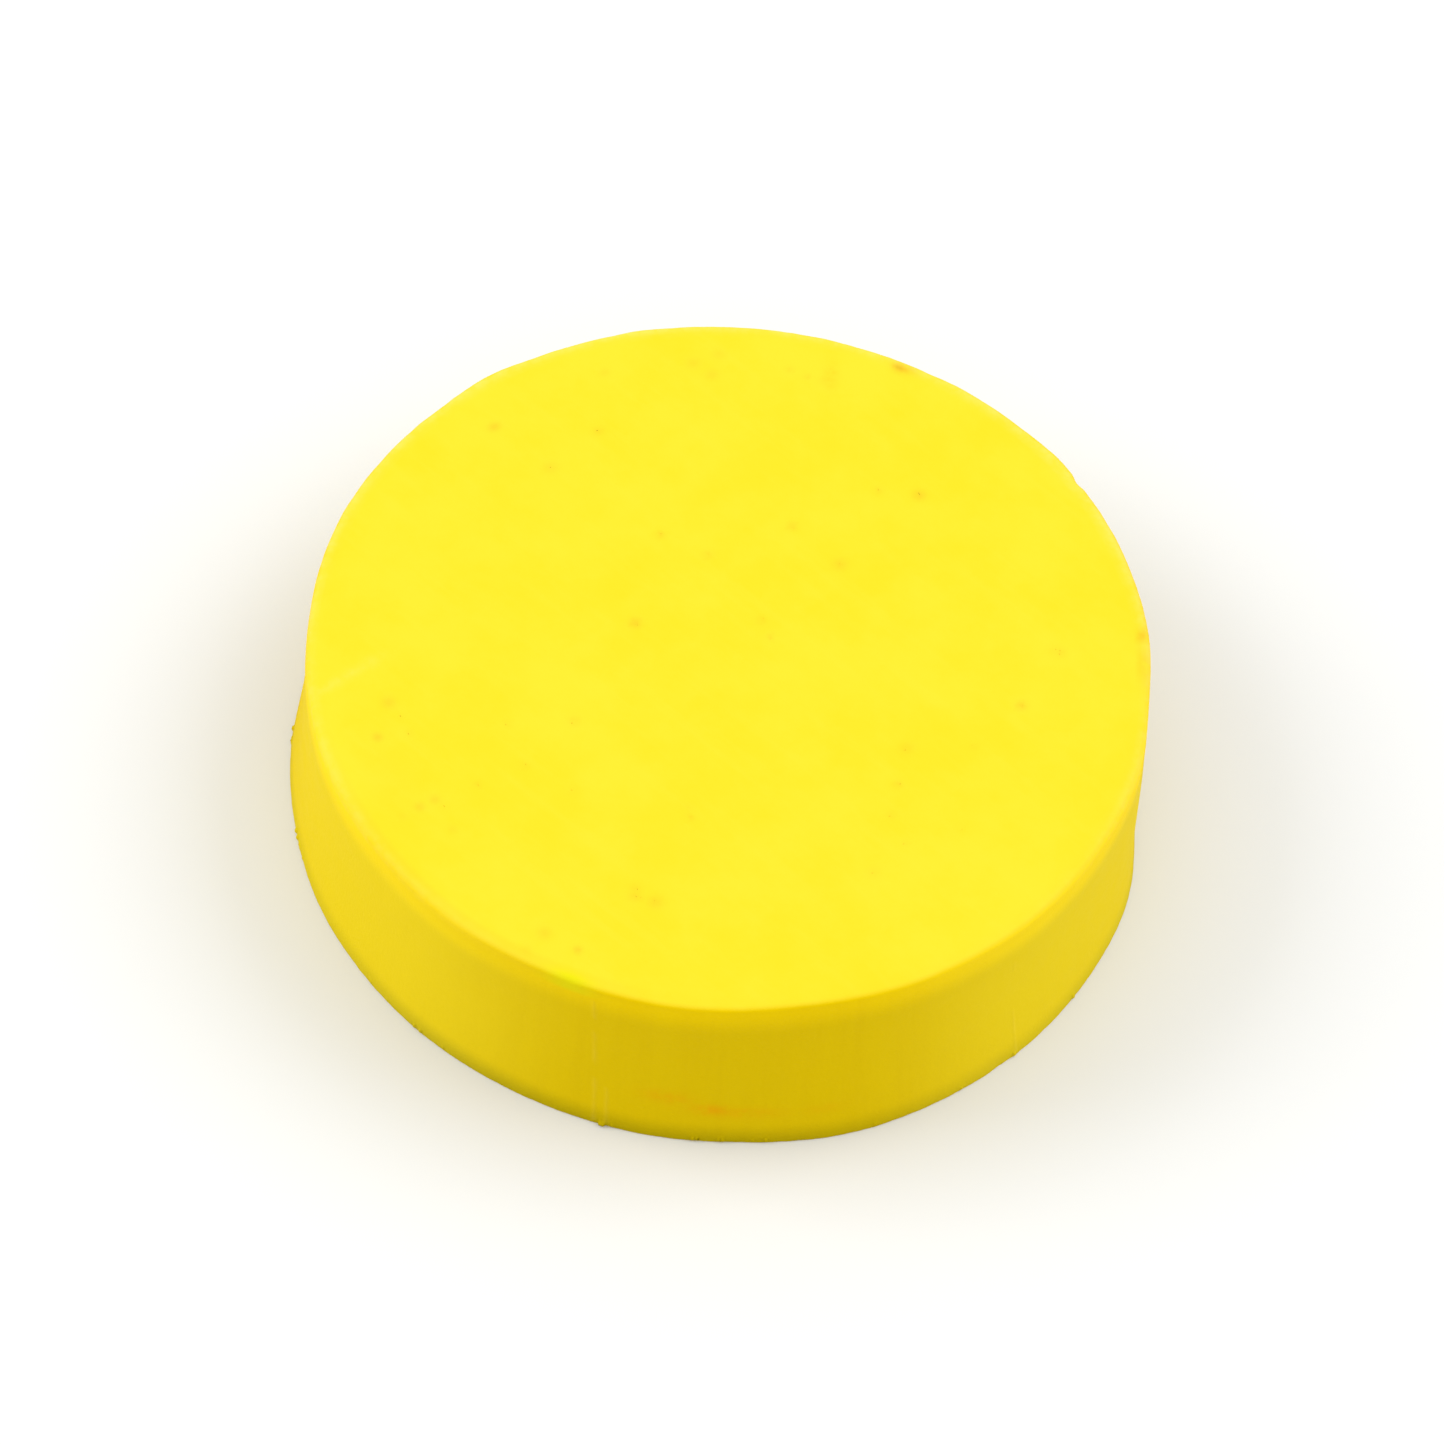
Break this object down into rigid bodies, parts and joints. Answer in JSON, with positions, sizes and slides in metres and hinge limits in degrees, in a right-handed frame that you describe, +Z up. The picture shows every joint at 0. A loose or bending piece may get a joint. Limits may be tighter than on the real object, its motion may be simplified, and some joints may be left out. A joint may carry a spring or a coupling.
{
  "type": "tabletop curling disc",
  "caption": "Plain yellow rubber disc with flat faces and a slightly waisted cut edge, a handle-less sliding stone for a tabletop curling game.",
  "frame": {"origin": "centre of the underside, on the surface that the disc lies on", "axes": "+Z up through the disc's thickness, from the underside to the top face; X and Y lie in the underside and are free, because the disc is round"},
  "size_m": [0.04, 0.04, 0.01],
  "materials": {
    "yellow_rubber": "matte"
  },
  "bodies": {
    "root": {"disc": "yellow_rubber"}
  },
  "joints": []
}
